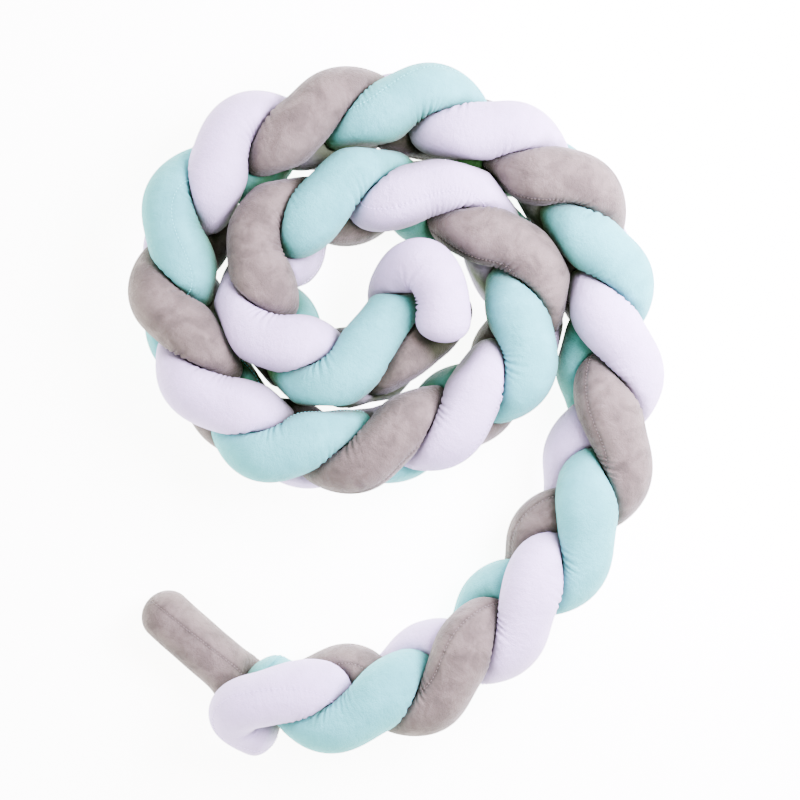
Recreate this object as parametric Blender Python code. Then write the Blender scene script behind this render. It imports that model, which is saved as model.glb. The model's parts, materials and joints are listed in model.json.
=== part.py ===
"""Crib bumper: three stuffed plush tubes plaited together and laid in a coil.

The plait stands on edge on a flat surface. It runs from its tail, at the lower left when seen from
above, up the right side and inwards for about one and three quarter turns. Metres in the scene,
+Z up, origin under the middle of the whole piece. Lengths below are in millimetres.

Each tube follows a plait curve round one shared spine. Where two tubes press on each other, both
stop half way between their centrelines, and the stuffing bulges out beside the place instead. A
tube's rounded end presses less, by its own radius there.
"""
from collections import namedtuple

import bpy
import numpy as np

MM = 0.001

# How the lobes were measured: from straight above, in steps of one millimetre at EVEN_HEIGHT.
EYE_HEIGHT = 1300.0
EVEN_HEIGHT = 54.0
MIDDLE_X = 400.0
MIDDLE_Y = 400.0

# The plait
SWING_UP = 30.0            # a tube's way above and below the spine
SWING_SIDE = 12.5          # a tube's way to either side of the spine
LOBES_PER_WAVE = 3.0       # each tube comes to the upper edge at every third lobe
TUBE_RADIUS = 26.0         # a tube that nothing presses
PRESSED_RADIUS = 28.0      # a tube in the plait, squeezed by the two others
REST_SQUASH = 3.0          # how far the lowest lobes flatten on the surface

# Stuffing
BULGE_LIMIT = 33.0         # the widest that a squeezed tube bulges
CORNER_SHARPNESS = 10.0    # how tightly a flattened side turns into the round one
SEAT_GAP = 0.75            # left between two tubes that press on each other
BEND_SHARE = 0.92          # share of the bend's own radius that the inside of a bend may fill
BEND_CLEAR = 12.0          # nearer than this along a tube, its own points don't press on it
SQUEEZE_BLEND = 20.0       # length over which a squeezed section eases into the next
END_CAP = 24.0             # length of the rounded end
LEAST_RADIUS = 2.0
NEAR = 4 * BULGE_LIMIT     # points farther off than this can't press on a tube
FAR = 10 * BULGE_LIMIT     # stands for no limit
TINY = 0.001

# Resolution
CURVE_STEP = 0.2           # lobes between the points that carry the tube's curve
CURVE_POINTS = 760         # points along each centreline when the tubes are compared
SIDES = 14
RINGS = 196
CAP_RINGS = 4
DENSER = 8                 # points of the curve for each one kept
WAVE_SAMPLES = 181         # samples of one wave, to find its lowest place
AREA_ROUNDS = 30
DRAW_IN_ROUNDS = 5
DRAW_IN_SHARE = 0.6        # share of what passes the half way surface that one round takes back

# Each lobe of the upper edge from the tail inwards: its middle seen from above, and how far the
# plait leans there, in degrees, positive where its upper edge leans out of the coil.
Lobe = namedtuple("Lobe", "seen_x seen_y lean")
LOBES = (
    Lobe(265, 698, 4),
    Lobe(361, 713, 17),
    Lobe(451, 677, 13),
    Lobe(525, 614, 15),
    Lobe(586, 541, 28),
    Lobe(621, 444, 27),
    Lobe(622, 342, 19),
    Lobe(603, 252, 8),
    Lobe(562, 178, 4),
    Lobe(488, 132, 5),
    Lobe(404, 101, 6),
    Lobe(308, 118, 8),
    Lobe(224, 150, 9),
    Lobe(175, 235, 7),
    Lobe(179, 321, 1),
    Lobe(221, 403, 3),
    Lobe(293, 447, 3),
    Lobe(386, 443, 1),
    Lobe(468, 407, 2),
    Lobe(526, 341, 3),
    Lobe(512, 245, 5),
    Lobe(425, 190, 5),
    Lobe(334, 192, 7),
    Lobe(255, 248, 18),
    Lobe(272, 341, 9),
    Lobe(352, 367, -3),
    Lobe(420, 326, -5),
)

# Points of a tube's loose ends, where it leaves the plait: seen from above, and height.
Loose = namedtuple("Loose", "seen_x seen_y height")

# One tube each: the lobe it takes first, the stretch of lobes that it plaits over, its loose
# points before the first and after the last of them, and its cloth.
Tube = namedtuple("Tube", "name turn first last before after cloth colour")
TUBES = (
    Tube("white_tube", 0, 0.0, 25.1,
         (Loose(279, 729, 34), Loose(252, 722, 43), Loose(237, 713, 60), Loose(244, 704, 78)),
         (Loose(380, 371, 27), Loose(394, 355, 27), Loose(398, 330, 31), Loose(399, 306, 42),
          Loose(401, 285, 62), Loose(409, 269, 84), Loose(424, 267, 99), Loose(437, 281, 103),
          Loose(443, 308, 101), Loose(441, 342, 94)),
         "white_plush", (0.80, 0.76, 0.87)),
    Tube("mint_tube", 1, 0.35, 25.3,
         (Loose(249, 671, 33), Loose(272, 687, 38)),
         (Loose(400, 313, 70), Loose(425, 296, 52)),
         "mint_plush", (0.53, 0.73, 0.75)),
    Tube("grey_tube", 2, 0.5, 25.5,
         (Loose(149, 599, 24), Loose(207, 651, 24), Loose(245, 685, 24), Loose(272, 705, 25)),
         (Loose(417, 337, 63), Loose(443, 314, 54), Loose(460, 292, 46)),
         "grey_plush", (0.50, 0.45, 0.44)),
)
PLUSH_ROUGHNESS = 0.95


def smooth_curve(at, values):
    """Return a function for the natural cubic curve through values at the places in at."""
    at = np.asarray(at, float)
    values = np.asarray(values, float)
    count = len(at)
    step = np.diff(at)
    system = np.eye(count)
    target = np.zeros_like(values)
    for row in range(1, count - 1):
        before, after = step[row - 1], step[row]
        system[row, row - 1:row + 2] = before, 2 * (before + after), after
        rise = (values[row + 1] - values[row]) / after
        target[row] = 6 * (rise - (values[row] - values[row - 1]) / before)
    bend = np.linalg.solve(system, target)

    def curve(place, slope=False):
        place = np.atleast_1d(place)
        cell = np.clip(np.searchsorted(at, place) - 1, 0, count - 2)
        width = step[cell][:, None]
        left = (at[cell + 1][:, None] - place[:, None]) / width
        right = 1 - left
        low, high = values[cell], values[cell + 1]
        bend_low, bend_high = bend[cell], bend[cell + 1]
        if slope:
            turn = (3 * right ** 2 - 1) * bend_high - (3 * left ** 2 - 1) * bend_low
            return (high - low) / width + turn * width / 6
        turn = (left ** 3 - left) * bend_low + (right ** 3 - right) * bend_high
        return left * low + right * high + turn * width ** 2 / 6

    return curve


def under_eye(seen_x, seen_y, height):
    """Return the place at this height that is seen at this spot from above."""
    scale = (EYE_HEIGHT - height) / (EYE_HEIGHT - EVEN_HEIGHT)
    return (seen_x - MIDDLE_X) * scale, (MIDDLE_Y - seen_y) * scale


def outward(direction):
    """Return the level direction to the right of each direction of travel."""
    flat = direction / np.linalg.norm(direction, axis=1)[:, None]
    return np.stack([flat[:, 1], -flat[:, 0]], axis=1)


def plait_spine():
    """Return the curves for the spine's level position and for its lean, by lobe."""
    place = np.arange(len(LOBES), dtype=float)
    lean = np.radians([lobe.lean for lobe in LOBES])[:, None]
    top = np.array([under_eye(lobe.seen_x, lobe.seen_y, EVEN_HEIGHT + SWING_UP) for lobe in LOBES])
    side = outward(smooth_curve(place, top)(place, slope=True))
    return smooth_curve(place, top - SWING_UP * np.sin(lean) * side), smooth_curve(place, lean)


def spine_height(lean):
    """Return the spine's height at which the lowest lobes just flatten on the surface."""
    wave = np.linspace(0, 2 * np.pi, WAVE_SAMPLES)
    drop = (SWING_UP * np.sin(wave) * np.cos(lean)
            + SWING_SIDE * np.sin(2 * wave) * np.sin(np.abs(lean)))
    return drop.max(axis=1) + PRESSED_RADIUS - REST_SQUASH


def plaited_points(tube, spine, lean_curve):
    """Return points of the tube's centreline inside the plait: a figure of eight round the spine."""
    lobe = np.arange(tube.first, tube.last, CURVE_STEP)
    side = outward(spine(lobe, slope=True))
    lean = lean_curve(lobe)
    wave = np.pi / 2 + 2 * np.pi / LOBES_PER_WAVE * (lobe - tube.turn)[:, None]
    up_way = SWING_UP * np.sin(wave)
    side_way = SWING_SIDE * np.sin(2 * wave)
    level = spine(lobe) + (up_way * np.sin(lean) + side_way * np.cos(lean)) * side
    height = spine_height(lean)[:, None] + up_way * np.cos(lean) - side_way * np.sin(lean)
    return np.hstack([level, height])


def loose_points(rows):
    """Return the points of a loose end."""
    return [(*under_eye(row.seen_x, row.seen_y, row.height), row.height) for row in rows]


def lengths_along(points):
    """Return the length along the line of points to each of them."""
    step = np.linalg.norm(np.diff(points, axis=0), axis=1)
    return np.concatenate([[0.0], np.cumsum(step)])


def even_line(points, count):
    """Return count points evenly spaced on the smooth curve through the given ones."""
    length = lengths_along(points)
    dense = smooth_curve(length, points)(np.linspace(0, length[-1], count * DENSER))
    length = lengths_along(dense)
    place = np.linspace(0, length[-1], count)
    return np.stack([np.interp(place, length, dense[:, axis]) for axis in range(3)], axis=1)


def end_rounding(place, length):
    """Return the share of its radius that a tube has at this place of its length."""
    from_end = np.minimum(place, length - place)
    return np.sqrt(1 - (1 - np.clip(from_end / END_CAP, 0, 1)) ** 2)


def centreline(tube, spine, lean_curve):
    """Return points of the tube's whole centreline, from its tail end inwards.

    The fourth number of each point is the square of the tube's radius there.
    """
    inside = plaited_points(tube, spine, lean_curve)
    parts = [loose_points(tube.before), inside, loose_points(tube.after)]
    line = even_line(np.vstack([np.array(part) for part in parts]), CURVE_POINTS)
    length = lengths_along(line)
    return np.column_stack([line, (TUBE_RADIUS * end_rounding(length, length[-1])) ** 2])


def across_directions(line):
    """Return two directions across the line at each point, carried along without twisting."""
    ahead = np.gradient(line, axis=0)
    ahead /= np.linalg.norm(ahead, axis=1)[:, None]
    across = np.zeros_like(line)
    carried = np.array([0.0, 0.0, 1.0])
    for spot, way in enumerate(ahead):
        carried = carried - carried @ way * way
        carried /= np.linalg.norm(carried)
        across[spot] = carried
    return across, np.cross(ahead, across)


def ring_places(line):
    """Return where the rings stand, as whole and part steps of the line: close in the end caps."""
    length = lengths_along(line)
    quarter = np.linspace(0, np.pi / 2, CAP_RINGS + 1)[1:]
    cap = END_CAP * (1 - np.cos(quarter))
    middle = np.linspace(END_CAP, length[-1] - END_CAP, RINGS - 2 * CAP_RINGS + 2)[1:-1]
    place = np.concatenate([cap, middle, (length[-1] - cap)[::-1]])
    return np.interp(place, length, np.arange(len(line))), place


def picked(values, step):
    """Return the rows of values at whole and part steps."""
    low = np.minimum(step.astype(int), len(values) - 2)
    part = (step - low)[:, None]
    return values[low] * (1 - part) + values[low + 1] * part


def half_way(centre, directions, points, lead):
    """Return how far from the centre each direction gets before it is nearer to one of points.

    The lead is what the squared distance to a point may be longer than the one to the centre.
    """
    offset = points - centre
    reach = (offset ** 2).sum(axis=1)
    near = reach < NEAR ** 2
    ahead = directions @ offset[near].T
    facing = ahead > TINY
    distance = np.where(facing, (reach + lead)[near] / (2 * np.where(facing, ahead, 1.0)), FAR)
    return distance.min(axis=1, initial=FAR)


def room_round(centres, places, directions, line, others):
    """Return the room that every ring has in each direction.

    Against the others, the side with the larger radius leads by the difference of the squares.
    """
    length = lengths_along(line[:, :3])
    room = np.empty(directions.shape[:2])
    for ring, centre in enumerate(centres):
        lead = centre[3] - others[:, 3]
        own = line[np.abs(length - places[ring]) > BEND_CLEAR, :3]
        pressed = half_way(centre[:3], directions[ring], others[:, :3], lead) - SEAT_GAP / 2
        bent = half_way(centre[:3], directions[ring], own, 0.0) * BEND_SHARE
        room[ring] = np.minimum(pressed, bent)
    return np.maximum(room, LEAST_RADIUS)


def filled(radius, room, floor):
    """Return the section that a tube of this radius takes in its room above the surface."""
    power = -CORNER_SHARPNESS
    soft = (radius[:, None] ** power + room ** power) ** (1 / power)
    return np.minimum(soft, floor)


def stuffed_radius(room, floor):
    """Return the radius with which every section keeps the area of a free tube."""
    low = np.full(len(room), TUBE_RADIUS / 2)
    high = np.full(len(room), BULGE_LIMIT)
    for _ in range(AREA_ROUNDS):
        middle = (low + high) / 2
        too_big = (filled(middle, room, floor) ** 2).mean(axis=1) > TUBE_RADIUS ** 2
        high = np.where(too_big, middle, high)
        low = np.where(too_big, low, middle)
    return low


def eased(radius, places):
    """Return the radius averaged along the tube, so that one section flows into the next."""
    away = np.abs(places[:, None] - places[None, :]) / SQUEEZE_BLEND
    weight = np.clip(1 - away, 0, None) * np.gradient(places)[None, :]
    return weight @ radius / weight.sum(axis=1)


def nearness(points, line):
    """Return the least squared distance less squared radius from each point to the line."""
    flat = points.reshape(-1, 3)
    square = (flat ** 2).sum(axis=1)[:, None] + (line[:, :3] ** 2).sum(axis=1)
    square = square - 2 * flat @ line[:, :3].T - line[:, 3]
    return square.min(axis=1).reshape(points.shape[:-1])


def past_half_way(points, line, others):
    """Return by how much each point is too near to the other tubes."""
    return (nearness(points, line) - nearness(points, others)) / (2 * TUBE_RADIUS) + SEAT_GAP


def drawn_in(rings, directions, line, others):
    """Draw corners towards the centreline until the facets between them stop half way too."""
    for _ in range(DRAW_IN_ROUNDS):
        beside = np.roll(rings, -1, axis=1)
        over_side = past_half_way((rings + beside) / 2, line, others)
        over_length = past_half_way((rings[:-1] + rings[1:]) / 2, line, others)
        middles = (rings[:-1] + rings[1:] + beside[:-1] + beside[1:]) / 4
        over_middle = past_half_way(middles, line, others)
        over = np.maximum(past_half_way(rings, line, others), over_side)
        over = np.maximum(over, np.roll(over_side, 1, axis=1))
        over_facet = np.maximum(over_length, over_middle)
        over_facet = np.maximum(over_facet, np.roll(over_middle, 1, axis=1))
        over[:-1] = np.maximum(over[:-1], over_facet)
        over[1:] = np.maximum(over[1:], over_facet)
        rings = rings - directions * (np.clip(over, 0, None) * DRAW_IN_SHARE)[..., None]
    return rings


def tube_surface(line, others):
    """Return the ring points of one tube and its two end points."""
    step, places = ring_places(line[:, :3])
    centres = picked(line, step)
    across, beside = across_directions(line[:, :3])
    turn = np.linspace(0, 2 * np.pi, SIDES, endpoint=False)[None, :, None]
    directions = (np.cos(turn) * picked(across, step)[:, None]
                  + np.sin(turn) * picked(beside, step)[:, None])
    directions /= np.linalg.norm(directions, axis=2)[..., None]
    room = room_round(centres, places, directions, line, others)
    falling = np.minimum(directions[..., 2], -TINY)
    floor = -centres[:, None, 2] / falling
    radius = eased(stuffed_radius(room, floor), places)
    rounding = end_rounding(places, places[0] + places[-1])
    reach = filled(radius * rounding, room, floor)
    rings = centres[:, None, :3] + directions * reach[..., None]
    return drawn_in(rings, directions, line, others), line[0, :3], line[-1, :3]


def tube_faces(rings, sides):
    """Return the faces round the tube and the two fans that close it."""
    faces = []
    for ring in range(rings - 1):
        for side in range(sides):
            beside = (side + 1) % sides
            low, high = ring * sides, (ring + 1) * sides
            faces.append((low + side, low + beside, high + beside, high + side))
    first, last = rings * sides, rings * sides + 1
    top = (rings - 1) * sides
    for side in range(sides):
        beside = (side + 1) % sides
        faces.append((first, beside, side))
        faces.append((last, top + side, top + beside))
    return faces


def plush(tube):
    """Return the tube's cloth."""
    material = bpy.data.materials.new(tube.cloth)
    material.use_nodes = True
    shader = material.node_tree.nodes["Principled BSDF"]
    shader.inputs["Base Color"].default_value = (*tube.colour, 1.0)
    shader.inputs["Roughness"].default_value = PLUSH_ROUGHNESS
    shader.inputs["Metallic"].default_value = 0.0
    material.diffuse_color = (*tube.colour, 1.0)
    return material


def add_tube(tube, points):
    """Put one tube into the scene."""
    mesh = bpy.data.meshes.new(tube.name)
    mesh.from_pydata((points * MM).tolist(), [], tube_faces(RINGS, SIDES))
    mesh.materials.append(plush(tube))
    mesh.polygons.foreach_set("use_smooth", [True] * len(mesh.polygons))
    mesh.validate()
    mesh.update()
    bpy.context.collection.objects.link(bpy.data.objects.new(tube.name, mesh))


def main():
    """Build the three tubes and put the origin under their middle."""
    for old in list(bpy.data.objects):
        bpy.data.objects.remove(old, do_unlink=True)
    spine, lean_curve = plait_spine()
    lines = [centreline(tube, spine, lean_curve) for tube in TUBES]
    clouds = []
    for own, line in enumerate(lines):
        others = np.vstack([other for spot, other in enumerate(lines) if spot != own])
        rings, start, end = tube_surface(line, others)
        clouds.append(np.vstack([rings.reshape(-1, 3), start, end]))
    every = np.vstack(clouds)
    low, high = every.min(axis=0), every.max(axis=0)
    origin = np.array([(low[0] + high[0]) / 2, (low[1] + high[1]) / 2, 0.0])
    for tube, cloud in zip(TUBES, clouds):
        add_tube(tube, cloud - origin)


main()
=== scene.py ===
"""Looks of a plaited crib bumper: three stuffed plush tubes, their seams and a studio stage.

The tubes are worked out again on a finer grid than their solids, from the same lobes and loose
ends, and replace them. Lengths in the tables are millimetres, and metres everywhere else.
"""
import json
from collections import namedtuple

import bpy
import mathutils
import numpy as np
from bpy.props import FloatProperty, FloatVectorProperty, IntProperty, PointerProperty
from bpy.types import Operator, Panel, PropertyGroup
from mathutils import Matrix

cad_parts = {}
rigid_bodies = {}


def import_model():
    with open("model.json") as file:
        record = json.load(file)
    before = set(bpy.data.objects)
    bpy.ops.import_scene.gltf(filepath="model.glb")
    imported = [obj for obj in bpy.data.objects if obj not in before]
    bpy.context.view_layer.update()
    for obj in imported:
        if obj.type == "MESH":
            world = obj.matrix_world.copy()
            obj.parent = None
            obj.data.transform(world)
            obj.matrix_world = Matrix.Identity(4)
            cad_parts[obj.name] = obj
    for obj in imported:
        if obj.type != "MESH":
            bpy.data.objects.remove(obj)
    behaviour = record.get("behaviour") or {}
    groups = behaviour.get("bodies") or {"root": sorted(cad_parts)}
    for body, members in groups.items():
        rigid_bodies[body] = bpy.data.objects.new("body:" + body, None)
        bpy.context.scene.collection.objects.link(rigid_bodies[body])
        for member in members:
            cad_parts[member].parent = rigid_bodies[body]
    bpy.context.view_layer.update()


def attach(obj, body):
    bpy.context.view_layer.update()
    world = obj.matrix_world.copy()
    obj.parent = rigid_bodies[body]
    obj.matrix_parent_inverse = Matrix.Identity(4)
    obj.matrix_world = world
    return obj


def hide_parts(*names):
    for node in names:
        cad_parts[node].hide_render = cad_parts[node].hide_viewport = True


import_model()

bl_info = {
    "name": "Plaited crib bumper",
    "version": (1, 0, 0),
    "blender": (4, 5, 0),
    "location": "3D View > Sidebar > Bumper",
    "description": "Stuffed plush tubes plaited into a coil, with seams, stitches and a stage",
    "category": "Add Mesh",
}

MM = 0.001
BODY = "root"

Line = namedtuple("Line", "points lobes girth")

# Where the lobes were seen from: straight above, in steps of one millimetre at EVEN_HEIGHT.
EYE_HEIGHT = 1300 * MM
EVEN_HEIGHT = 54 * MM
MIDDLE_STEP = 400
PICTURE_STEPS = 800
PICTURE_MIDDLE = (0.00334, 0.01349)    # the picture's middle, from the frame's origin
FLOOR_HEIGHT = -0.0002     # just under the resting plane
WALL_STRENGTH = 5.0        # of the white wall that shows behind the floor from the side

LOBES_PER_WAVE = 3.0       # each tube comes to the upper edge at every third lobe
LOBE_LENGTH = 0.108        # a tube's own length from one lobe to the next
CURVE_STEP = 0.2           # lobes between the points that carry a tube's curve
CURVE_POINTS = 900         # points along each centreline when the tubes are compared
DENSER = 8                 # points on the curve for each one kept
WAVE_SAMPLES = 181
AREA_ROUNDS = 26
BLOCK = 40                 # rings worked out together
NEAR = 0.12                # points farther off than this can't press on a tube
FAR = 0.4                  # stands for no limit
TINY = 1e-6
LEAST_RADIUS = 0.002
CORNER_SHARPNESS = 10.0    # how tightly a flattened side turns into the round one
BEND_SHARE = 0.92          # share of a bend's own radius that its inside may fill
BEND_CLEAR = 0.012         # nearer than this along a tube, its own points don't press on it
SQUEEZE_BLEND = 0.020      # length over which a squeezed section eases into the next
SEAM_CROWDING = 0.75       # how much closer the points stand beside the seam
CAP_CROWDING = 1.5         # how much closer the rings stand in the end caps
FURROW_BED = 5.0           # the furrow lies in a bed this many times as wide
FURROW_BED_DEPTH = 0.5     # and of this share of its depth
BEND_LEAST = 0.04          # a bend gathers the cloth where the tube's radius over its own is more
BEND_FULL = 0.30           # than the first of these, and in full where it is over the second
GATHER_LEAST = 0.02        # share of the gathers' depth that is left on straight stretches
GATHER_FREE = 0.35         # and on a bend that nothing presses
GATHER_REACH = 1.0         # how far from a pressed place they reach, in radii
GATHER_WAVES = ((0.071, 1.0), (0.023, 0.6))    # pitch and share of the waves that shift them
GATHER_SHIFT = 1.3         # how far these do so, in radians
GATHER_PATCHES = 0.043     # from one stretch of stronger gathers to the next
GATHER_UNEVEN = 0.4        # how far their strength swings to either side between these
BALL_STEP = 3              # centreline points from one that blocks rays to the next
OPEN_RINGS = 10            # rings and sides from one sample of openness to the next
OPEN_SIDES = 4
RAYS = 36                  # rays that feel for open room from a point of the cloth
RAY_TURN = 2.399963        # golden angle, which spreads them evenly
BLOCKED_WITHIN = 0.0215    # a ray that passes a centreline nearer than this meets its tube
FREE_BEYOND = 0.0265       # and one that passes farther off than this misses it
STITCH_PLACES = (-0.75, 0.0, 0.75)
STITCH_SIDES = 5
STITCH_SHARE = 0.62        # of the pitch, that the thread shows
STITCH_RISE = 0.7          # how far the thread's middle stands off the seam, in its own radii
END_SEWN = 0.008           # from a tube's tip to its first stitch
CLOTH_MAP = "cloth"
# the points' openness is the mask of the painted shade in the plush
OPENNESS = "openness"
DEEP_UNDER = 0.17          # painted shade: the colour is at its deep share where no more room than this is open
OPEN_OVER = 0.86           # and has its full colour where more than this is
LUMP_WAVES = ((0.083, 1), (0.057, 2), (0.039, 1), (0.131, 3))    # pitch, turns round the tube
LUMP_PHASES = (2.1, 1.7)   # from one wave, and from one tube, to the next

# Each lobe of the upper edge from the tail inwards: its middle seen from above, and how far the
# plait leans there, in degrees, positive where its upper edge leans out of the coil.
Lobe = namedtuple("Lobe", "seen_x seen_y lean")
LOBES = tuple(Lobe(*row) for row in (
    (265, 698, 4), (361, 713, 17), (451, 677, 13), (525, 614, 15), (586, 541, 28),
    (621, 444, 27), (622, 342, 19), (603, 252, 8), (562, 178, 4), (488, 132, 5), (404, 101, 6),
    (308, 118, 8), (224, 150, 9), (175, 235, 7), (179, 321, 1), (221, 403, 3), (293, 447, 3),
    (386, 443, 1), (468, 407, 2), (526, 341, 3), (512, 245, 5), (425, 190, 5), (334, 192, 7),
    (255, 248, 18), (272, 341, 9), (352, 367, -3), (420, 326, -5),
))

# Points of a tube's loose ends, where it leaves the plait: seen from above, and height.
Loose = namedtuple("Loose", "seen_x seen_y height")

# A place of a tube's seam: the lobe, and degrees from its top towards the right of its travel.
Seam = namedtuple("Seam", "lobe turn")

# One tube each: its node and cloth, the lobe it takes first, the stretch of lobes that it plaits
# over, its loose points before the first and after the last of them, and its seam.
Tube = namedtuple("Tube", "name node cloth turn first last before after seam")
TUBES = (
    Tube("white_plush_tube", "white_tube", "white", 0, 0.0, 25.1,
         (Loose(279, 729, 34), Loose(252, 722, 43), Loose(237, 713, 60), Loose(244, 704, 78)),
         (Loose(380, 371, 27), Loose(394, 355, 27), Loose(398, 330, 31), Loose(399, 306, 42),
          Loose(401, 285, 62), Loose(409, 269, 84), Loose(424, 267, 99), Loose(437, 281, 103),
          Loose(443, 308, 101), Loose(441, 342, 94)),
         (Seam(-0.5, -40), Seam(0, -30), Seam(3, 110), Seam(6, 140), Seam(9, 120),
          Seam(12, 130), Seam(15, 120), Seam(18, 60), Seam(20.3, 10), Seam(21, -22),
          Seam(21.6, -25), Seam(22.3, -60), Seam(24, -100), Seam(27, -130))),
    Tube("mint_plush_tube", "mint_tube", "mint", 1, 0.35, 25.3,
         (Loose(249, 671, 33), Loose(272, 687, 38)),
         (Loose(400, 313, 70), Loose(425, 296, 52)),
         (Seam(-0.5, 150), Seam(1, 140), Seam(4, 120), Seam(7, 85), Seam(8.5, 85),
          Seam(9.5, 62), Seam(10, 35), Seam(10.5, 8), Seam(13, -10), Seam(16, -80),
          Seam(19, -130), Seam(22, -140), Seam(25, -150), Seam(27, -150))),
    Tube("grey_plush_tube", "grey_tube", "grey", 2, 0.5, 25.5,
         (Loose(149, 599, 24), Loose(207, 651, 24), Loose(245, 685, 24), Loose(272, 705, 25)),
         (Loose(417, 337, 63), Loose(443, 314, 54), Loose(460, 292, 46)),
         (Seam(-1.5, -15), Seam(-0.5, -28), Seam(0.5, -30), Seam(2, -40), Seam(3.5, -60),
          Seam(5, -45), Seam(8, -60), Seam(11, -120), Seam(14, -200), Seam(17, -300),
          Seam(20, -420), Seam(23, -480), Seam(26, -500))),
)

# How each cloth differs: its slot, how uneven its nap is, how much patches brushed the other way
# stand out, how dark its smudges are, how much its seam sinks in, how much painted shade darkens
# the seam's furrow, how bright its thread is beside it, how much its edges catch the light, and
# the share of its colour that is left in its darkest painted shade, where it lies in deep shelter.
Finish = namedtuple("Finish", "slot nap crush smudge sunk furrow thread rim deep")
FINISHES = {
    "white": Finish("white_plush", 0.03, 0.03, 0.0, 0.25, 0.02, 1.25, 1.0, (0.14, 0.22, 0.08)),
    "mint": Finish("mint_plush", 0.05, 0.06, 0.05, 0.3, 0.04, 1.7, 1.2, (0.22, 0.20, 0.04)),
    "grey": Finish("grey_plush", 0.08, 0.20, 0.25, 1.0, 0.30, 1.2, 1.8, (0.15, 0.22, 0.12)),
}

# The layers of the plush: how fine each is, in waves a metre, and the streaks' along and across.
Layers = namedtuple("Layers", "clouds patches spots clumps tips pile streaks")
PLUSH = Layers(24.0, 42.0, 46.0, 190.0, 620.0, 750.0, (260.0, 60.0))
STROKE_SHARE = 0.6         # of the nap's unevenness, that shows as strokes along the tube
TIP_SPREAD = 0.05          # how much the tips of the pile vary in colour
CLUMP_RISE = 1.6           # how high the clumps of the pile stand, where the pile itself stands 1
TUCK_WIDTH = 0.0024        # how far the tucks at the stitches reach from the seam

# Plain matt looks: how fine the speckles are, in waves a metre, how strong, and how rough it is.
THREAD_LOOK = (1800.0, 0.08, 0.6)
FLOOR_LOOK = (3.0, 0.004, 0.9)

# The soft lamps: where each stands about the piece, in degrees and metres, how wide it is, and
# how much light it gives, as the brightness of a white card that faces it in the middle.
Lamp = namedtuple("Lamp", "name azimuth elevation distance size light")
LAMPS = (
    Lamp("right_lamp", 25, 45, 0.95, 0.7, 7.0),
    Lamp("front_lamp", -100, 40, 2.0, 1.3, 0.8),
    Lamp("left_lamp", 180, 40, 2.0, 1.3, 1.0),
    Lamp("back_lamp", 90, 40, 2.0, 1.3, 0.8),
)


def length_setting(name, description, default, low, high):
    """Return a setting in metres."""
    return FloatProperty(name=name, description=description, default=default, min=low, max=high,
                         unit="LENGTH")


def colour_setting(name, description, default, high=1.0):
    """Return a setting that is a colour."""
    return FloatVectorProperty(name=name, description=description, default=default, min=0.0,
                               max=high, subtype="COLOR", size=3)


class BumperShape(PropertyGroup):
    """How the plait is built."""
    swing_up: length_setting(
        "Swing up", "A tube's way above and below the spine", 0.030, 0.01, 0.06)
    swing_side: length_setting(
        "Swing aside", "A tube's way to either side of the spine", 0.0125, 0.0, 0.03)
    tube_radius: length_setting(
        "Tube radius", "Radius of a tube that nothing presses", 0.026, 0.01, 0.05)
    pressed_radius: length_setting(
        "Pressed radius", "Radius of a tube that the others squeeze", 0.028, 0.01, 0.05)
    bulge_limit: length_setting(
        "Bulge limit", "The widest that a squeezed tube bulges", 0.033, 0.01, 0.06)
    rest_squash: length_setting(
        "Resting squash", "How far the lowest lobes flatten where they rest", 0.003, 0.0, 0.01)
    seat_gap: length_setting(
        "Seat gap", "Left between two tubes that press on each other", 0.0005, 0.0, 0.005)
    end_cap: length_setting(
        "End cap", "Length of a tube's rounded end", 0.024, 0.005, 0.06)
    rings: IntProperty(
        name="Rings", description="Rings of points along each tube", default=2000, min=100,
        max=3000)
    sides: IntProperty(
        name="Sides", description="Points round each tube", default=48, min=16, max=160)


class BumperCloth(PropertyGroup):
    """How the plush and its seams look."""
    white: colour_setting("White", "Colour of the white plush", (0.59, 0.49, 0.74))
    mint: colour_setting("Mint", "Colour of the mint plush", (0.095, 0.43, 0.41))
    grey: colour_setting("Grey", "Colour of the grey plush", (0.130, 0.109, 0.090))
    seam_depth: length_setting(
        "Seam depth", "How deep the seam draws the cloth in", 0.0007, 0.0, 0.005)
    seam_width: length_setting(
        "Seam width", "Half the width of the seam's furrow", 0.0016, 0.0003, 0.01)
    stitch_pitch: length_setting(
        "Stitch pitch", "From one stitch to the next", 0.0036, 0.001, 0.01)
    thread_radius: length_setting(
        "Thread radius", "Radius of the sewing thread", 0.0005, 0.0001, 0.001)
    pucker_depth: length_setting(
        "Pucker depth", "Depth of the gathers where a bend is pressed", 0.0034, 0.0, 0.006)
    pucker_pitch: length_setting(
        "Pucker pitch", "From one gather to the next", 0.0064, 0.003, 0.03)
    lump_depth: length_setting(
        "Lump depth", "How uneven the filling is", 0.0008, 0.0, 0.004)
    sheen: FloatProperty(
        name="Sheen", description="How strongly the pile catches the light at its edges",
        default=0.12, min=0.0, max=1.0)


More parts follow.
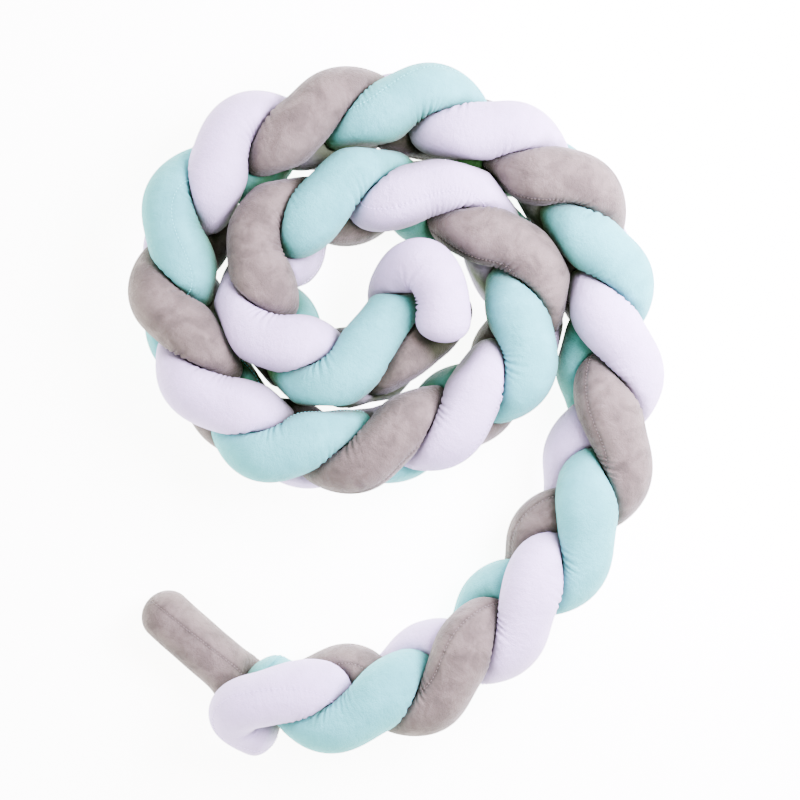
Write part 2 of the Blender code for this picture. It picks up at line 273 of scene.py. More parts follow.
class BumperStage(PropertyGroup):
    """The floor, the lights and the camera."""
    floor_size: length_setting(
        "Floor size", "Side of the square floor", 6.0, 1.0, 20.0)
    floor_colour: colour_setting("Floor", "Colour of the floor", (0.95, 0.95, 0.95))
    floor_glow: FloatProperty(
        name="Floor glow", description="Light that the floor gives off, as a light table does",
        default=9.0, min=0.0, max=20.0)
    glow_colour: colour_setting(
        "Glow colour", "Colour of the floor's own light", (0.985, 1.0, 0.93))
    lamp_level: FloatProperty(
        name="Lamp level", description="Brightness of all the lamps together, 1 as set up",
        default=1.0, min=0.0, max=10.0)
    lamp_colour: colour_setting("Lamp colour", "Colour of the lamps", (1.10, 0.92, 1.26), 2.0)
    sky_strength: FloatProperty(
        name="Room light", description="Strength of the even light from all round",
        default=0.7, min=0.0, max=5.0)
    sky_colour: colour_setting("Room colour", "Colour of the even light", (0.90, 1.0, 0.55))
    sensor: FloatProperty(
        name="Sensor", description="Width of the camera's sensor in millimetres", default=36.0,
        min=5.0, max=100.0)


# --- Curves ----------------------------------------------------------------------------------

def smooth_curve(at, values):
    """Return the natural cubic curve through values at the places in at, as a function."""
    at = np.asarray(at, float)
    values = np.asarray(values, float)
    count = len(at)
    step = np.diff(at)
    system = np.eye(count)
    target = np.zeros_like(values)
    inner = np.arange(1, count - 1)
    system[inner, inner - 1] = step[:-1]
    system[inner, inner] = 2 * (step[:-1] + step[1:])
    system[inner, inner + 1] = step[1:]
    rise = np.diff(values, axis=0) / step[:, None]
    target[inner] = 6 * np.diff(rise, axis=0)
    bend = np.linalg.solve(system, target)

    def curve(place, slope=False):
        place = np.atleast_1d(place)
        cell = np.clip(np.searchsorted(at, place) - 1, 0, count - 2)
        width = step[cell][:, None]
        left = (at[cell + 1][:, None] - place[:, None]) / width
        right = 1 - left
        low, high = values[cell], values[cell + 1]
        bend_low, bend_high = bend[cell], bend[cell + 1]
        if slope:
            turn = (3 * right ** 2 - 1) * bend_high - (3 * left ** 2 - 1) * bend_low
            return (high - low) / width + turn * width / 6
        turn = (left ** 3 - left) * bend_low + (right ** 3 - right) * bend_high
        return left * low + right * high + turn * width ** 2 / 6

    return curve


def under_eye(seen_x, seen_y, height):
    """Return the place at this height that is seen at this spot from above."""
    scale = MM * (EYE_HEIGHT - height) / (EYE_HEIGHT - EVEN_HEIGHT)
    return (PICTURE_MIDDLE[0] + (seen_x - MIDDLE_STEP) * scale,
            PICTURE_MIDDLE[1] + (MIDDLE_STEP - seen_y) * scale)


def outward(direction):
    """Return the level direction to the right of each direction of travel."""
    flat = direction / np.linalg.norm(direction, axis=1)[:, None]
    return np.stack([flat[:, 1], -flat[:, 0]], axis=1)


def plait_spine(shape):
    """Return the curves for the spine's level position and for its lean, by lobe."""
    place = np.arange(len(LOBES), dtype=float)
    lean = np.radians([lobe.lean for lobe in LOBES])[:, None]
    top_height = EVEN_HEIGHT + shape.swing_up
    top = np.array([under_eye(lobe.seen_x, lobe.seen_y, top_height) for lobe in LOBES])
    side = outward(smooth_curve(place, top)(place, slope=True))
    spine = top - shape.swing_up * np.sin(lean) * side
    return smooth_curve(place, spine), smooth_curve(place, lean)


def spine_height(lean, shape):
    """Return the spine's height at which the lowest lobes just flatten where they rest."""
    wave = np.linspace(0, 2 * np.pi, WAVE_SAMPLES)
    drop = (shape.swing_up * np.sin(wave) * np.cos(lean)
            + shape.swing_side * np.sin(2 * wave) * np.sin(np.abs(lean)))
    return drop.max(axis=1) + shape.pressed_radius - shape.rest_squash


def plaited_points(tube, shape):
    """Return a tube's points in the plait, with their lobes.

    The tube swings up and down the spine as the sine of its wave, and aside as the sine of twice
    the wave, which draws a figure of eight. One wave lasts three lobes.
    """
    spine, lean_curve = plait_spine(shape)
    lobe = np.arange(tube.first, tube.last, CURVE_STEP)
    side = outward(spine(lobe, slope=True))
    lean = lean_curve(lobe)
    wave = np.pi / 2 + 2 * np.pi / LOBES_PER_WAVE * (lobe - tube.turn)[:, None]
    up_way = shape.swing_up * np.sin(wave)
    side_way = shape.swing_side * np.sin(2 * wave)
    level = spine(lobe) + (up_way * np.sin(lean) + side_way * np.cos(lean)) * side
    height = spine_height(lean, shape) + (up_way * np.cos(lean) - side_way * np.sin(lean))[:, 0]
    return np.column_stack([level, height, lobe])


def loose_points(rows):
    """Return the points of a loose end."""
    return np.array([(*under_eye(row.seen_x, row.seen_y, row.height * MM), row.height * MM)
                     for row in rows])


def lengths_along(points):
    """Return the length along the line of points to each of them."""
    step = np.linalg.norm(np.diff(points[:, :3], axis=0), axis=1)
    return np.concatenate([[0.0], np.cumsum(step)])


def end_rounding(place, length, shape):
    """Return the share of its radius that a tube has at this place of its length."""
    from_end = np.minimum(place, length - place)
    return np.sqrt(1 - (1 - np.clip(from_end / shape.end_cap, 0, 1)) ** 2)


def centreline(tube, shape):
    """Return a tube's centreline: evenly spaced points, their lobes and their squared radii.

    Loose points count lobes on by their length, a lobe for each LOBE_LENGTH of tube.
    """
    inside = plaited_points(tube, shape)
    before, after = loose_points(tube.before), loose_points(tube.after)
    lead = lengths_along(np.vstack([before, inside[:1, :3]]))
    trail = lengths_along(np.vstack([inside[-1:, :3], after]))
    before = np.column_stack([before, inside[0, 3] - (lead[-1] - lead[:-1]) / LOBE_LENGTH])
    after = np.column_stack([after, inside[-1, 3] + trail[1:] / LOBE_LENGTH])
    points = np.vstack([before, inside, after])
    length = lengths_along(points)
    dense = smooth_curve(length, points)(np.linspace(0, length[-1], CURVE_POINTS * DENSER))
    length = lengths_along(dense)
    place = np.linspace(0, length[-1], CURVE_POINTS)
    even = np.stack([np.interp(place, length, dense[:, axis]) for axis in range(4)], axis=1)
    girth = (shape.tube_radius * end_rounding(place, length[-1], shape)) ** 2
    return Line(even[:, :3], even[:, 3], girth)


def unit(vectors):
    """Return the vectors at length one."""
    return vectors / np.linalg.norm(vectors, axis=-1, keepdims=True)


def across_directions(line):
    """Return two directions across the line at each point, carried along without twisting."""
    ahead = unit(np.gradient(line, axis=0))
    across = np.zeros_like(line)
    carried = np.array([0.0, 0.0, 1.0])
    for spot, way in enumerate(ahead):
        carried = unit(carried - carried @ way * way)
        across[spot] = carried
    return across, np.cross(ahead, across)


def picked(values, step):
    """Return the rows of values at whole and part steps."""
    low = np.minimum(step.astype(int), len(values) - 2)
    part = (step - low).reshape(-1, *[1] * (values.ndim - 1))
    return values[low] * (1 - part) + values[low + 1] * part


# --- Stuffing --------------------------------------------------------------------------------

def ring_places(length, shape):
    """Return the lengths at which rings stand: even, and closer together in the end caps."""
    spacing = length / shape.rings
    cap_rings = int(np.ceil(CAP_CROWDING * shape.end_cap / spacing))
    quarter = np.linspace(0, np.pi / 2, cap_rings + 1)[1:]
    cap = shape.end_cap * (1 - np.cos(quarter))
    inner = shape.rings - 2 * cap_rings
    middle = np.linspace(shape.end_cap, length - shape.end_cap, inner + 2)[1:-1]
    return np.concatenate([cap, middle, (length - cap)[::-1]])


def half_way(centres, directions, points, lead):
    """Return how far each direction gets from its centre before it is nearer to one of points.

    That is the squared distance to the point and its lead, over twice its part along the
    direction. A lead of FAR leaves the point out.
    """
    offset = points[None] - centres[:, None]
    reach = (offset ** 2).sum(axis=2) + lead
    ahead = directions @ offset.transpose(0, 2, 1)
    facing = ahead > TINY
    distance = np.where(facing, reach[:, None] / (2 * np.where(facing, ahead, 1.0)), FAR)
    return distance.min(axis=2, initial=FAR)


def close_by(points, centres):
    """Return which points can press on one of the centres."""
    low, high = centres.min(axis=0) - NEAR, centres.max(axis=0) + NEAR
    return ((points > low) & (points < high)).all(axis=1)


def room_round(centres, places, girth, directions, line, others, shape):
    """Return the room that every ring has in each direction.

    Against the other tubes, the wider one leads by the difference of the squared radii.
    """
    length = lengths_along(line.points)
    pressed = np.empty(directions.shape[:2])
    bent = np.empty(directions.shape[:2])
    for start in range(0, len(centres), BLOCK):
        part = slice(start, start + BLOCK)
        near = close_by(others.points, centres[part])
        lead = girth[part, None] - others.girth[near][None]
        pressed[part] = half_way(centres[part], directions[part], others.points[near], lead)
        near = close_by(line.points, centres[part])
        beside = np.abs(length[near][None] - places[part][:, None]) < BEND_CLEAR
        lead = np.where(beside, FAR, 0.0)
        bent[part] = half_way(centres[part], directions[part], line.points[near], lead)
    room = np.minimum(pressed - shape.seat_gap / 2, bent * BEND_SHARE)
    return np.maximum(room, LEAST_RADIUS)


def filled(radius, room, floor):
    """Return the section of a tube of this radius in its room above the surface.

    A soft least of the two: the inverse powers are added and the root is taken back.
    """
    power = -CORNER_SHARPNESS
    soft = (radius[:, None] ** power + room ** power) ** (1 / power)
    return np.minimum(soft, floor)


def stuffed_radius(room, floor, share, shape):
    """Return the radius with which every section keeps the area of a free tube."""
    low = np.full(len(room), shape.tube_radius / 2)
    high = np.full(len(room), shape.bulge_limit)
    for _ in range(AREA_ROUNDS):
        middle = (low + high) / 2
        too_big = filled(middle, room, floor) ** 2 @ share > shape.tube_radius ** 2
        high = np.where(too_big, middle, high)
        low = np.where(too_big, low, middle)
    return low


def eased(radius, places):
    """Return the radius averaged along the tube, so that one section flows into the next."""
    away = np.abs(places[:, None] - places[None, :]) / SQUEEZE_BLEND
    weight = np.clip(1 - away, 0, None) * np.gradient(places)[None, :]
    return weight @ radius / weight.sum(axis=1)


def seam_offsets(sides):
    """Return the angles of the points from the seam, and the share of the way round at each.

    They start opposite the seam and are crowded beside it: the angle is the even one less
    SEAM_CROWDING times its sine.
    """
    even = 2 * np.pi * np.arange(sides) / sides - np.pi
    return even - SEAM_CROWDING * np.sin(even), (1 - SEAM_CROWDING * np.cos(even)) / sides


def seam_angles(tube, lobes, across, beside):
    """Return the seam's angle in each ring's own directions.

    The table's angle counts from the top, so the top's own angle is added, unwound.
    """
    rows = np.array(tube.seam, float)
    turn = np.radians(np.interp(lobes, rows[:, 0], rows[:, 1]))
    return np.unwrap(np.arctan2(beside[:, 2], across[:, 2])) + turn


def lumps(places, angle, seed):
    """Return a gentle unevenness from -1 to 1: a sum of slow waves along and round the tube."""
    wave = np.zeros(angle.shape)
    for count, (pitch, turns) in enumerate(LUMP_WAVES):
        phase = LUMP_PHASES[0] * count + LUMP_PHASES[1] * seed
        wave += np.sin(2 * np.pi * places[:, None] / pitch + phase) * np.cos(turns * angle + phase)
    return wave / len(LUMP_WAVES)


def gathers(places, angle, cloth):
    """Return small folds across the tube, between 0 and 1, of uneven pitch and strength.

    A fold is the square of a sine wave along the tube that is lifted above 0. Slower waves shift
    it and make it stronger and weaker.
    """
    along = 2 * np.pi * places[:, None]
    shift = sum(share * np.sin(along / pitch) for pitch, share in GATHER_WAVES) + np.cos(2 * angle)
    strength = 1 - GATHER_UNEVEN + GATHER_UNEVEN * np.sin(along / GATHER_PATCHES + angle)
    wave = np.sin(along / cloth.pucker_pitch + GATHER_SHIFT * shift)
    return strength * (0.5 + 0.5 * wave) ** 2


def bend_inside(line, step, directions, shape):
    """Return how far each direction points to the inside of the centreline's level bend.

    That is the tube's radius over the bend's, times the cosine between the direction and the bend.
    """
    ahead = unit(np.gradient(line.points, axis=0))
    bend = np.gradient(ahead, axis=0) / np.gradient(lengths_along(line.points))[:, None]
    level = picked(bend, step)[:, :2]
    return np.einsum("ijk,ik->ij", directions[..., :2], level) * shape.tube_radius


def open_share(points, outs, ahead, balls):
    """Return the share of the room in front of each point that no tube fills.

    Rays leave the point by the cosine over the half sphere round its way out. Each is blocked by
    how near it passes the points of the centrelines ahead of it.
    """
    slant = np.sqrt((np.arange(RAYS) + 0.5) / RAYS)
    turn = RAY_TURN * np.arange(RAYS)
    spread = np.stack([slant * np.cos(turn), slant * np.sin(turn), np.sqrt(1 - slant ** 2)], 1)
    aside = unit(np.cross(outs, ahead))
    rays = spread @ np.stack([np.cross(aside, outs), aside, outs], axis=-2)
    offset = balls - points[..., None, :]
    along = rays @ offset.swapaxes(-1, -2)
    square = (offset ** 2).sum(axis=-1)[..., None, :] - along ** 2
    free = (np.sqrt(np.clip(square, 0, None)) - BLOCKED_WITHIN) / (FREE_BEYOND - BLOCKED_WITHIN)
    free = np.where(along > 0, np.clip(free, 0, 1), 1.0)
    return free.min(axis=-1).mean(axis=-1)


def openness(rings, lines):
    """Return how open every point of a tube lies, from 0 to 1, worked out on a coarser grid."""
    count, sides = rings.shape[:2]
    balls = np.concatenate([line.points[::BALL_STEP] for line in lines])
    centres = rings.mean(axis=1)
    outs = unit(rings - centres[:, None])
    ahead = np.broadcast_to(unit(np.gradient(centres, axis=0))[:, None], rings.shape)
    chosen = np.append(np.arange(0, count - 1, OPEN_RINGS), count - 1)
    coarse = []
    for row in chosen:
        near = balls[close_by(balls, rings[row])]
        part = (row, slice(None, None, OPEN_SIDES))
        coarse.append(open_share(rings[part], outs[part], ahead[part], near))
    along = picked(np.array(coarse), np.interp(np.arange(count), chosen, np.arange(len(chosen))))
    closed = np.column_stack([along, along[:, :1]])
    return picked(closed.T, np.arange(sides) / OPEN_SIDES).T


def tube_surface(tube, lines, own, shape, cloth):
    """Return a tube's ring points, its end points and the lengths at which its rings stand.

    Every ring is a soft round section in the room that its neighbours, its own bend and the
    surface leave, with the area of a free tube. Taken off its radius are the seam's furrow, a bell
    curve in a wider one; the gathers, on the inside of bends and most where the cloth is pressed;
    and the filling's lumps.
    """
    line = lines[own]
    rest = [other for spot, other in enumerate(lines) if spot != own]
    others = Line(*(np.concatenate(column) for column in zip(*rest)))
    length = lengths_along(line.points)
    places = ring_places(length[-1], shape)
    step = np.interp(places, length, np.arange(len(length)))
    centres = picked(line.points, step)
    across, beside = (unit(picked(way, step)) for way in across_directions(line.points))
    offsets, share = seam_offsets(shape.sides)
    angle = seam_angles(tube, picked(line.lobes, step), across, beside)[:, None] + offsets[None]
    directions = (np.cos(angle)[..., None] * across[:, None]
                  + np.sin(angle)[..., None] * beside[:, None])
    rounding = end_rounding(places, length[-1], shape)
    girth = (shape.tube_radius * rounding) ** 2
    room = room_round(centres, places, girth, directions, line, others, shape)
    floor = -centres[:, None, 2] / np.minimum(directions[..., 2], -TINY)
    radius = eased(stuffed_radius(room, floor, share, shape), places)
    reach = filled(radius * rounding, room, floor)

    from_seam = offsets[None] * reach
    furrow = np.exp(-(from_seam / cloth.seam_width) ** 2)
    bed = np.exp(-(from_seam / (FURROW_BED * cloth.seam_width)) ** 2)
    inside = bend_inside(line, step, directions, shape)
    drawn = np.clip((inside - BEND_LEAST) / (BEND_FULL - BEND_LEAST), GATHER_LEAST, 1)
    pressed = np.exp(-((room / radius[:, None] - 1) / GATHER_REACH) ** 2)
    drawn = drawn * np.maximum(pressed, GATHER_FREE)
    taken = (cloth.seam_depth * FINISHES[tube.cloth].sunk * (furrow + FURROW_BED_DEPTH * bed)
             + cloth.pucker_depth * gathers(places, angle, cloth) * drawn
             + cloth.lump_depth * (0.5 + 0.5 * lumps(places, angle, own)))
    reach = np.minimum(reach - taken * rounding[:, None], floor)
    points = centres[:, None] + directions * reach[..., None]
    return points, line.points[0], line.points[-1], places


# --- Meshes ----------------------------------------------------------------------------------

def grid_faces(rings, sides):
    """Return the quads between neighbouring rings, closed round each ring."""
    ring = np.arange(rings - 1)[:, None] * sides
    side = np.arange(sides)[None]
    beside = (side + 1) % sides
    quads = np.stack([ring + side, ring + beside, ring + sides + beside, ring + sides + side],
                     axis=2)
    return quads.reshape(-1, 4)


def fan_faces(rings, sides):
    """Return the triangles that close the first and the last ring at a pole each."""
    side = np.arange(sides)
    beside = (side + 1) % sides
    first, last = rings * sides, rings * sides + 1
    top = (rings - 1) * sides
    start = np.stack([np.full(sides, first), beside, side], axis=1)
    end = np.stack([np.full(sides, last), top + side, top + beside], axis=1)
    return np.vstack([start, end])


def cloth_map(places, sides, shape):
    """Return each corner's place on the cloth in metres: length along, and way from the seam."""
    even = 2 * np.pi * np.arange(sides + 1) / sides - np.pi
    way = (even - SEAM_CROWDING * np.sin(even)) * shape.tube_radius
    low, high = places[:-1, None], places[1:, None]
    left, right = way[:-1], way[1:]
    middle = (left + right) / 2

    def spots(along, aside):
        return np.stack(np.broadcast_arrays(along, aside), axis=-1)

    quads = np.stack([spots(low, left), spots(low, right), spots(high, right), spots(high, left)],
                     axis=2)
    start = np.stack([spots(0.0, middle), spots(places[0], right), spots(places[0], left)], axis=1)
    end = np.stack([spots(places[0] + places[-1], middle), spots(places[-1], left),
                    spots(places[-1], right)], axis=1)
    return np.vstack([quads.reshape(-1, 2), start.reshape(-1, 2), end.reshape(-1, 2)])


def new_mesh(name, points, quads, triangles, corner_map=None):
    """Return a linked, smooth shaded object of these points and faces."""
    mesh = bpy.data.meshes.new(name)
    mesh.vertices.add(len(points))
    mesh.vertices.foreach_set("co", points.astype(np.float32).ravel())
    corners = np.concatenate([quads.ravel(), triangles.ravel()]).astype(np.int32)
    sizes = np.concatenate([np.full(len(quads), 4), np.full(len(triangles), 3)])
    starts = np.concatenate([[0], np.cumsum(sizes)[:-1]]).astype(np.int32)
    mesh.loops.add(len(corners))
    mesh.loops.foreach_set("vertex_index", corners)
    mesh.polygons.add(len(sizes))
    mesh.polygons.foreach_set("loop_start", starts)
    mesh.polygons.foreach_set("use_smooth", np.ones(len(sizes), bool))
    if corner_map is not None:
        layer = mesh.uv_layers.new(name=CLOTH_MAP)
        layer.uv.foreach_set("vector", corner_map.astype(np.float32).ravel())
    mesh.update(calc_edges=True)
    mesh.validate()
    piece = bpy.data.objects.new(name, mesh)
    bpy.context.collection.objects.link(piece)
    return piece


def seam_line(piece, sides):
    """Return the seam's points on a finished tube, and the way out of the cloth at each."""
    points = np.empty(len(piece.data.vertices) * 3, np.float32)
    piece.data.vertices.foreach_get("co", points)
    rings = points[:-6].reshape(-1, sides, 3).astype(float)
    seam = rings[:, sides // 2]
    return seam, unit(seam - rings.mean(axis=1))


def stitch_points(seam, out, cloth):
    """Return the points of all the stitches of one seam, a row for each stitch.

    A stitch is a short spindle along the seam. Its radius is the thread's times the root of one
    less the squared place, which runs from -1 to 1 at its pointed ends.
    """
    length = lengths_along(seam)
    at = np.arange(END_SEWN, length[-1] - END_SEWN, cloth.stitch_pitch)
    step = np.interp(at, length, np.arange(len(length)))
    ahead = unit(picked(unit(np.gradient(seam, axis=0)), step))
    up = picked(out, step)
    up = unit(up - (up * ahead).sum(axis=1)[:, None] * ahead)
    aside = np.cross(ahead, up)
    along = np.array(STITCH_PLACES)
    girth = cloth.thread_radius * np.sqrt(1.0 - along ** 2)
    turn = 2 * np.pi * np.arange(STITCH_SIDES) / STITCH_SIDES
    ring = np.cos(turn)[:, None] * up[:, None] + np.sin(turn)[:, None] * aside[:, None]
    middle = picked(seam, step) + up * cloth.thread_radius * STITCH_RISE
    half = cloth.stitch_pitch * STITCH_SHARE / 2
    spine = middle[:, None] + ahead[:, None] * (along * half)[None, :, None]
    rings = spine[:, :, None] + ring[:, None] * girth[None, :, None, None]
    tips = middle[:, None] + ahead[:, None] * np.array([-half, half])[None, :, None]
    return np.concatenate([rings.reshape(len(at), -1, 3), tips], axis=1)


# --- Materials -------------------------------------------------------------------------------

def feed(tree, socket, value):
    """Link a socket to another one, or set it to a value."""
    if isinstance(value, bpy.types.NodeSocket):
        tree.links.new(value, socket)
    else:
        socket.default_value = value


def tuned(tree, made, **values):
    """Give a node its settings and feed its sockets, by their names. Return the node."""
    for name, value in values.items():
        if name in made.bl_rna.properties:
            setattr(made, name, value)
        else:
            feed(tree, made.inputs[name.replace("_", " ")], value)
    return made


def node(tree, kind, place, **values):
    """Add a node at this place, with these settings and sockets."""
    return tuned(tree, tree.nodes.new(kind), location=place, **values)


def joined(tree, operation, place, *terms, kind="ShaderNodeMath"):
    """Add a Math node of these sockets and values, and return its output."""
    made = node(tree, kind, place, operation=operation)
    for socket, term in zip(made.inputs, terms):
        feed(tree, socket, term)
    return made.outputs[0]


def noise_between(tree, vector, place, scale, low, high, span=(0.32, 0.68), **settings):
    """Return noise read at vector, with this span of its values spread from low to high."""
    settings = {"Detail": 3.0, "Roughness": 0.6, **settings}
    texture = node(tree, "ShaderNodeTexNoise", place, Vector=vector, Scale=scale, **settings)
    spread = node(tree, "ShaderNodeMapRange", (place[0] + 200, place[1]), From_Min=span[0],
                  From_Max=span[1], To_Min=low, To_Max=high, Value=texture.outputs["Fac"])
    return spread.outputs["Result"]


def stretched_map(tree, place, along, across):
    """Return the cloth's own map, stretched along and across the tube."""
    cloth = node(tree, "ShaderNodeUVMap", place, uv_map=CLOTH_MAP)
    stretch = node(tree, "ShaderNodeMapping", (place[0] + 200, place[1]),
                   Vector=cloth.outputs["UV"], Scale=(along, across, 1.0))
    return stretch.outputs["Vector"]


def seam_ripple(tree, place, pitch, width):
    """Return the small tucks that the stitches draw beside the seam, and its bell curve.

    A tuck is the cosine of the length in stitches times the bell curve of the way from the seam.
    """
    def spot(column, row=0):
        return place[0] + 200 * column, place[1] - 150 * row

    cloth = node(tree, "ShaderNodeUVMap", place, uv_map=CLOTH_MAP)
    parts = node(tree, "ShaderNodeSeparateXYZ", spot(1), Vector=cloth.outputs["UV"])
    turns = joined(tree, "MULTIPLY", spot(2), parts.outputs["X"], 2 * np.pi / pitch)
    wave = joined(tree, "COSINE", spot(3), turns)
    near = joined(tree, "MULTIPLY", spot(2, 1), parts.outputs["Y"], 1 / width)
    square = joined(tree, "MULTIPLY", spot(3, 1), near, near)
    fall = joined(tree, "MULTIPLY", spot(4, 1), square, -1.0)
    bell = joined(tree, "EXPONENT", spot(5, 1), fall)
    return joined(tree, "MULTIPLY", spot(6), wave, bell), bell


def painted_shade_colour(tree, place, colour, deep):
    """Return the colour with painted shade, down to its deep share where little room is open."""
    room = node(tree, "ShaderNodeAttribute", place, attribute_name=OPENNESS)
    rise = node(tree, "ShaderNodeMapRange", (place[0] + 200, place[1]), From_Min=DEEP_UNDER,
                From_Max=OPEN_OVER, Value=room.outputs["Fac"])
    deepest = [part * share for part, share in zip(colour, deep)]
    open_part = [part - low for part, low in zip(colour, deepest)]
    return joined(tree, "MULTIPLY_ADD", (place[0] + 400, place[1]), open_part,
                  rise.outputs["Result"], deepest, kind="ShaderNodeVectorMath")


def new_material(name):
    """Return a new material, its node tree and its shader."""
    material = bpy.data.materials.new(name)
    material.use_nodes = True
    return material, material.node_tree, material.node_tree.nodes["Principled BSDF"]


def plush_material(finish, colour, cloth):
    """Return short-pile plush.

    Its colour varies in clouds, in patches that are brushed the other way, in strokes along the
    tube, in smudges and at the tips of the pile. Painted shade darkens it in the seam's furrow and
    where little room is open between the tubes. Its bump is pile, clumps, strokes and the tucks at
    the stitches, and its edges have a sheen.
    """
    material, tree, shader = new_material(finish.slot)
    nap, stroke = finish.nap, STROKE_SHARE * finish.nap
    where = node(tree, "ShaderNodeTexCoord", (-2400, 0)).outputs["Object"]
    streaks = stretched_map(tree, (-2600, 600), *PLUSH.streaks)
    ripple, by_seam = seam_ripple(tree, (-2600, -700), cloth.stitch_pitch, TUCK_WIDTH)

    shade = noise_between(tree, where, (-1900, 900), PLUSH.clouds, 1.0 - nap, 1.0 + nap)
    patches = noise_between(tree, where, (-1900, 1200), PLUSH.patches, 1.0 - finish.crush,
                            1.0 + finish.crush, (0.40, 0.60), Distortion=0.5)
    strokes = noise_between(tree, streaks, (-1900, 600), 1.0, 1.0 - stroke, 1.0 + stroke)
    tips = noise_between(tree, where, (-1900, 300), PLUSH.tips, 1.0 - TIP_SPREAD,
                         1.0 + TIP_SPREAD)
    smudges = noise_between(tree, where, (-1900, 0), PLUSH.spots, 1.0, 1.0 - finish.smudge,
                            (0.60, 0.72), Detail=1.0, Roughness=0.5)
    # Painted shade: the colour darkens in the seam's furrow, by its bell curve across the seam.
    painted_seam_shade = node(tree, "ShaderNodeMapRange", (-900, -300), From_Min=0.0, From_Max=1.0, To_Min=1.0,
                To_Max=1.0 - finish.furrow, Value=by_seam)
    for spot, layer in enumerate((patches, strokes, tips, smudges, painted_seam_shade.outputs["Result"])):
        shade = joined(tree, "MULTIPLY", (-1500 + 170 * spot, 900 - 150 * spot), shade, layer)
    # Painted shade: the colour falls towards its deep share where little room is open.
    tint = node(tree, "ShaderNodeVectorMath", (-500, 200), operation="SCALE", Scale=shade,
                Vector=painted_shade_colour(tree, (-1200, 100), colour, finish.deep))

    height = noise_between(tree, where, (-1900, -300), PLUSH.pile, 0.0, 1.0)
    clumps = noise_between(tree, where, (-1900, -500), PLUSH.clumps, 0.0, CLUMP_RISE)
    lay = noise_between(tree, streaks, (-1900, 450), 1.0, 0.0, 1.0)
    for spot, layer in enumerate((clumps, lay, ripple)):
        height = joined(tree, "ADD", (-1300 + 200 * spot, -400), height, layer)
    bump = node(tree, "ShaderNodeBump", (-500, -350), Strength=0.5, Distance=0.0006,
                Height=height)
    tuned(tree, shader, Base_Color=tint.outputs["Vector"], Normal=bump.outputs["Normal"],
          Roughness=0.92, Specular_IOR_Level=0.1, Sheen_Weight=cloth.sheen * finish.rim,
          Sheen_Roughness=0.4)
    return material


def speckled_material(name, colour, scale, spread, roughness):
    """Return a plain matt material whose colour varies a little, by this spread at this scale."""
    material, tree, shader = new_material(name)
    where = node(tree, "ShaderNodeTexCoord", (-900, 0)).outputs["Object"]
    shade = noise_between(tree, where, (-700, 0), scale, 1.0 - spread, 1.0 + spread, Detail=2.0)
    tint = node(tree, "ShaderNodeVectorMath", (-250, 0), operation="SCALE", Vector=colour,
                Scale=shade)
    tuned(tree, shader, Base_Color=tint.outputs["Vector"], Roughness=roughness)
    return material


# --- Operators -------------------------------------------------------------------------------

class BUMPER_OT_tubes(Operator):
    """Add the three stuffed plush tubes"""
    bl_idname = "bumper.tubes"
    bl_label = "Stuffed tubes"

    def execute(self, context):
        shape, cloth = context.scene.bumper_shape, context.scene.bumper_cloth
        lines = [centreline(tube, shape) for tube in TUBES]
        for own, tube in enumerate(TUBES):
            rings, first, last, places = tube_surface(tube, lines, own, shape, cloth)
            count, sides = rings.shape[:2]
            piece = new_mesh(tube.name, np.vstack([rings.reshape(-1, 3), first, last]),
                             grid_faces(count, sides), fan_faces(count, sides),
                             cloth_map(places, sides, shape))
            # How open each point lies: the mask of the shade that the plush material paints.
            room = openness(rings, lines)
            room = np.concatenate([room.ravel(), [room[0].mean(), room[-1].mean()]])
            layer = piece.data.attributes.new(OPENNESS, "FLOAT", "POINT")
            layer.data.foreach_set("value", room.astype(np.float32))
            finish = FINISHES[tube.cloth]
            piece.data.materials.append(
                plush_material(finish, tuple(getattr(cloth, tube.cloth)), cloth))
            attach(piece, BODY)
            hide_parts(tube.node)
        return {"FINISHED"}


class BUMPER_OT_stitches(Operator):
    """Sew the seam of each tube"""
    bl_idname = "bumper.stitches"
    bl_label = "Seam stitches"

    def execute(self, context):
        shape, cloth = context.scene.bumper_shape, context.scene.bumper_cloth
        for tube in TUBES:
            if tube.name not in bpy.data.objects:
                raise RuntimeError(f"{tube.name} isn't built yet")
            seam, out = seam_line(bpy.data.objects[tube.name], shape.sides)
            stitches = stitch_points(seam, out, cloth)
            count, each = stitches.shape[:2]
            start = np.arange(count)[:, None, None] * each
            rings = len(STITCH_PLACES)
            quads = (start + grid_faces(rings, STITCH_SIDES)[None]).reshape(-1, 4)
            fans = (start + fan_faces(rings, STITCH_SIDES)[None]).reshape(-1, 3)
            piece = new_mesh(tube.cloth + "_seam_stitches", stitches.reshape(-1, 3), quads, fans)
            finish = FINISHES[tube.cloth]
            colour = tuple(min(1.0, finish.thread * part) for part in getattr(cloth, tube.cloth))
            piece.data.materials.append(
                speckled_material(tube.cloth + "_thread", colour, *THREAD_LOOK))
            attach(piece, BODY)
        return {"FINISHED"}


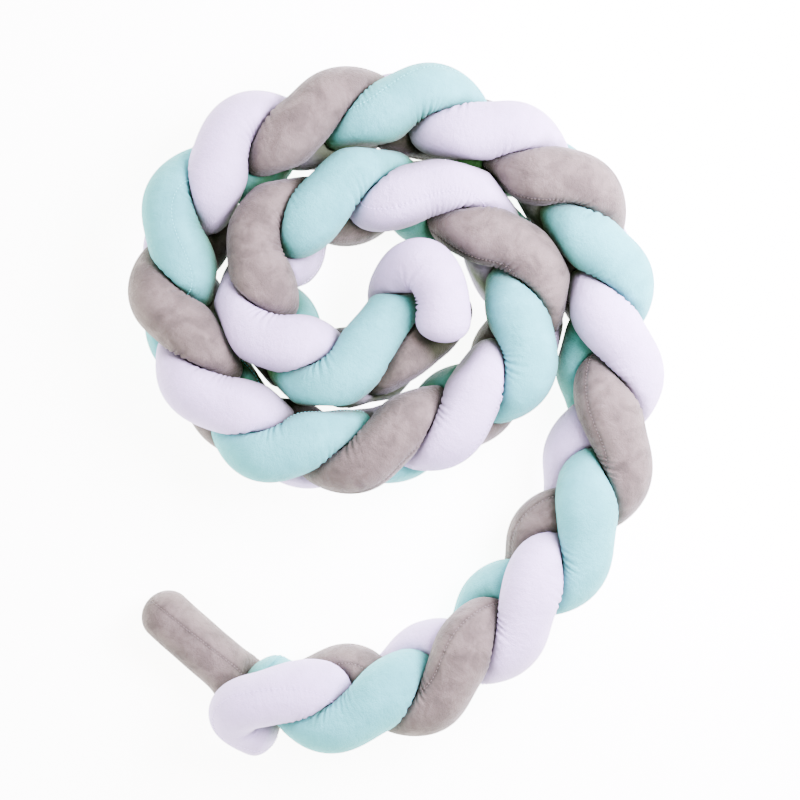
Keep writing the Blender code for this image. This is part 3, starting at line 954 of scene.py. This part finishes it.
class BUMPER_OT_stage(Operator):
    """Add the pale floor, the soft lights and the camera above"""
    bl_idname = "bumper.stage"
    bl_label = "Stage"

    def execute(self, context):
        stage = context.scene.bumper_stage
        self.add_floor(stage)
        self.add_lights(context, stage)
        self.add_camera(context, stage)
        return {"FINISHED"}

    def add_floor(self, stage):
        """Lay the floor just under the resting plane."""
        half = stage.floor_size / 2
        corners = np.array([(-half, -half, FLOOR_HEIGHT), (half, -half, FLOOR_HEIGHT),
                            (half, half, FLOOR_HEIGHT), (-half, half, FLOOR_HEIGHT)])
        floor = new_mesh("studio_floor", corners, np.array([[0, 1, 2, 3]]), np.zeros((0, 3), int))
        pale = speckled_material("studio_floor", tuple(stage.floor_colour), *FLOOR_LOOK)
        tuned(pale.node_tree, pale.node_tree.nodes["Principled BSDF"],
              Emission_Color=(*stage.glow_colour, 1.0), Emission_Strength=stage.floor_glow)
        floor.data.materials.append(pale)

    def add_lights(self, context, stage):
        """Stand soft round lamps about the piece, in a room of even light with a white wall."""
        for row in LAMPS:
            light = bpy.data.lights.new(row.name, "AREA")
            light.shape = "DISK"
            light.size = row.size
            light.energy = stage.lamp_level * row.light * (np.pi * row.distance) ** 2
            light.color = stage.lamp_colour
            lamp = bpy.data.objects.new(row.name, light)
            turn, rise = np.radians(row.azimuth), np.radians(row.elevation)
            away = mathutils.Vector((np.cos(turn) * np.cos(rise), np.sin(turn) * np.cos(rise),
                                     np.sin(rise)))
            lamp.location = away * row.distance
            lamp.visible_camera = False
            lamp.rotation_euler = away.to_track_quat("Z", "Y").to_euler()
            context.collection.objects.link(lamp)
        world = bpy.data.worlds.new("white_room")
        world.use_nodes = True
        tree = world.node_tree
        room = tuned(tree, tree.nodes["Background"], Color=(*stage.sky_colour, 1.0),
                     Strength=stage.sky_strength)
        wall = node(tree, "ShaderNodeBackground", (0, 100), Color=(1.0, 1.0, 1.0, 1.0),
                    Strength=WALL_STRENGTH)
        path = node(tree, "ShaderNodeLightPath", (0, 600))
        mix = node(tree, "ShaderNodeMixShader", (200, 400), Fac=path.outputs["Is Camera Ray"])
        tree.links.new(room.outputs["Background"], mix.inputs[1])
        tree.links.new(wall.outputs["Background"], mix.inputs[2])
        tree.links.new(mix.outputs["Shader"], tree.nodes["World Output"].inputs["Surface"])
        context.scene.world = world

    def add_camera(self, context, stage):
        """Look straight down, with one picture step to a millimetre at EVEN_HEIGHT."""
        camera = bpy.data.cameras.new("from_above")
        camera.sensor_width = stage.sensor
        camera.lens = stage.sensor * (EYE_HEIGHT - EVEN_HEIGHT) / (PICTURE_STEPS * MM)
        eye = bpy.data.objects.new("from_above", camera)
        eye.location = (*PICTURE_MIDDLE, EYE_HEIGHT)
        context.collection.objects.link(eye)
        context.scene.camera = eye


class BUMPER_PT_panel(Panel):
    """Everything that makes up the bumper"""
    bl_idname = "BUMPER_PT_panel"
    bl_label = "Crib bumper"
    bl_space_type = "VIEW_3D"
    bl_region_type = "UI"
    bl_category = "Bumper"

    def draw(self, context):
        layout = self.layout
        for name in ("bumper_shape", "bumper_cloth", "bumper_stage"):
            group = getattr(context.scene, name)
            box = layout.box()
            for prop in group.__annotations__:
                box.prop(group, prop)
        for operator in (BUMPER_OT_tubes, BUMPER_OT_stitches, BUMPER_OT_stage):
            layout.operator(operator.bl_idname)


CLASSES = (BumperShape, BumperCloth, BumperStage, BUMPER_OT_tubes, BUMPER_OT_stitches,
           BUMPER_OT_stage, BUMPER_PT_panel)


def register():
    """Register the classes and their settings."""
    for each in CLASSES:
        bpy.utils.register_class(each)
    bpy.types.Scene.bumper_shape = PointerProperty(type=BumperShape)
    bpy.types.Scene.bumper_cloth = PointerProperty(type=BumperCloth)
    bpy.types.Scene.bumper_stage = PointerProperty(type=BumperStage)


def unregister():
    """Take back what register did."""
    del bpy.types.Scene.bumper_stage
    del bpy.types.Scene.bumper_cloth
    del bpy.types.Scene.bumper_shape
    for each in reversed(CLASSES):
        bpy.utils.unregister_class(each)


def main():
    register()
    bpy.ops.bumper.tubes()
    bpy.ops.bumper.stitches()
    bpy.ops.bumper.stage()


if __name__ == "__main__":
    main()
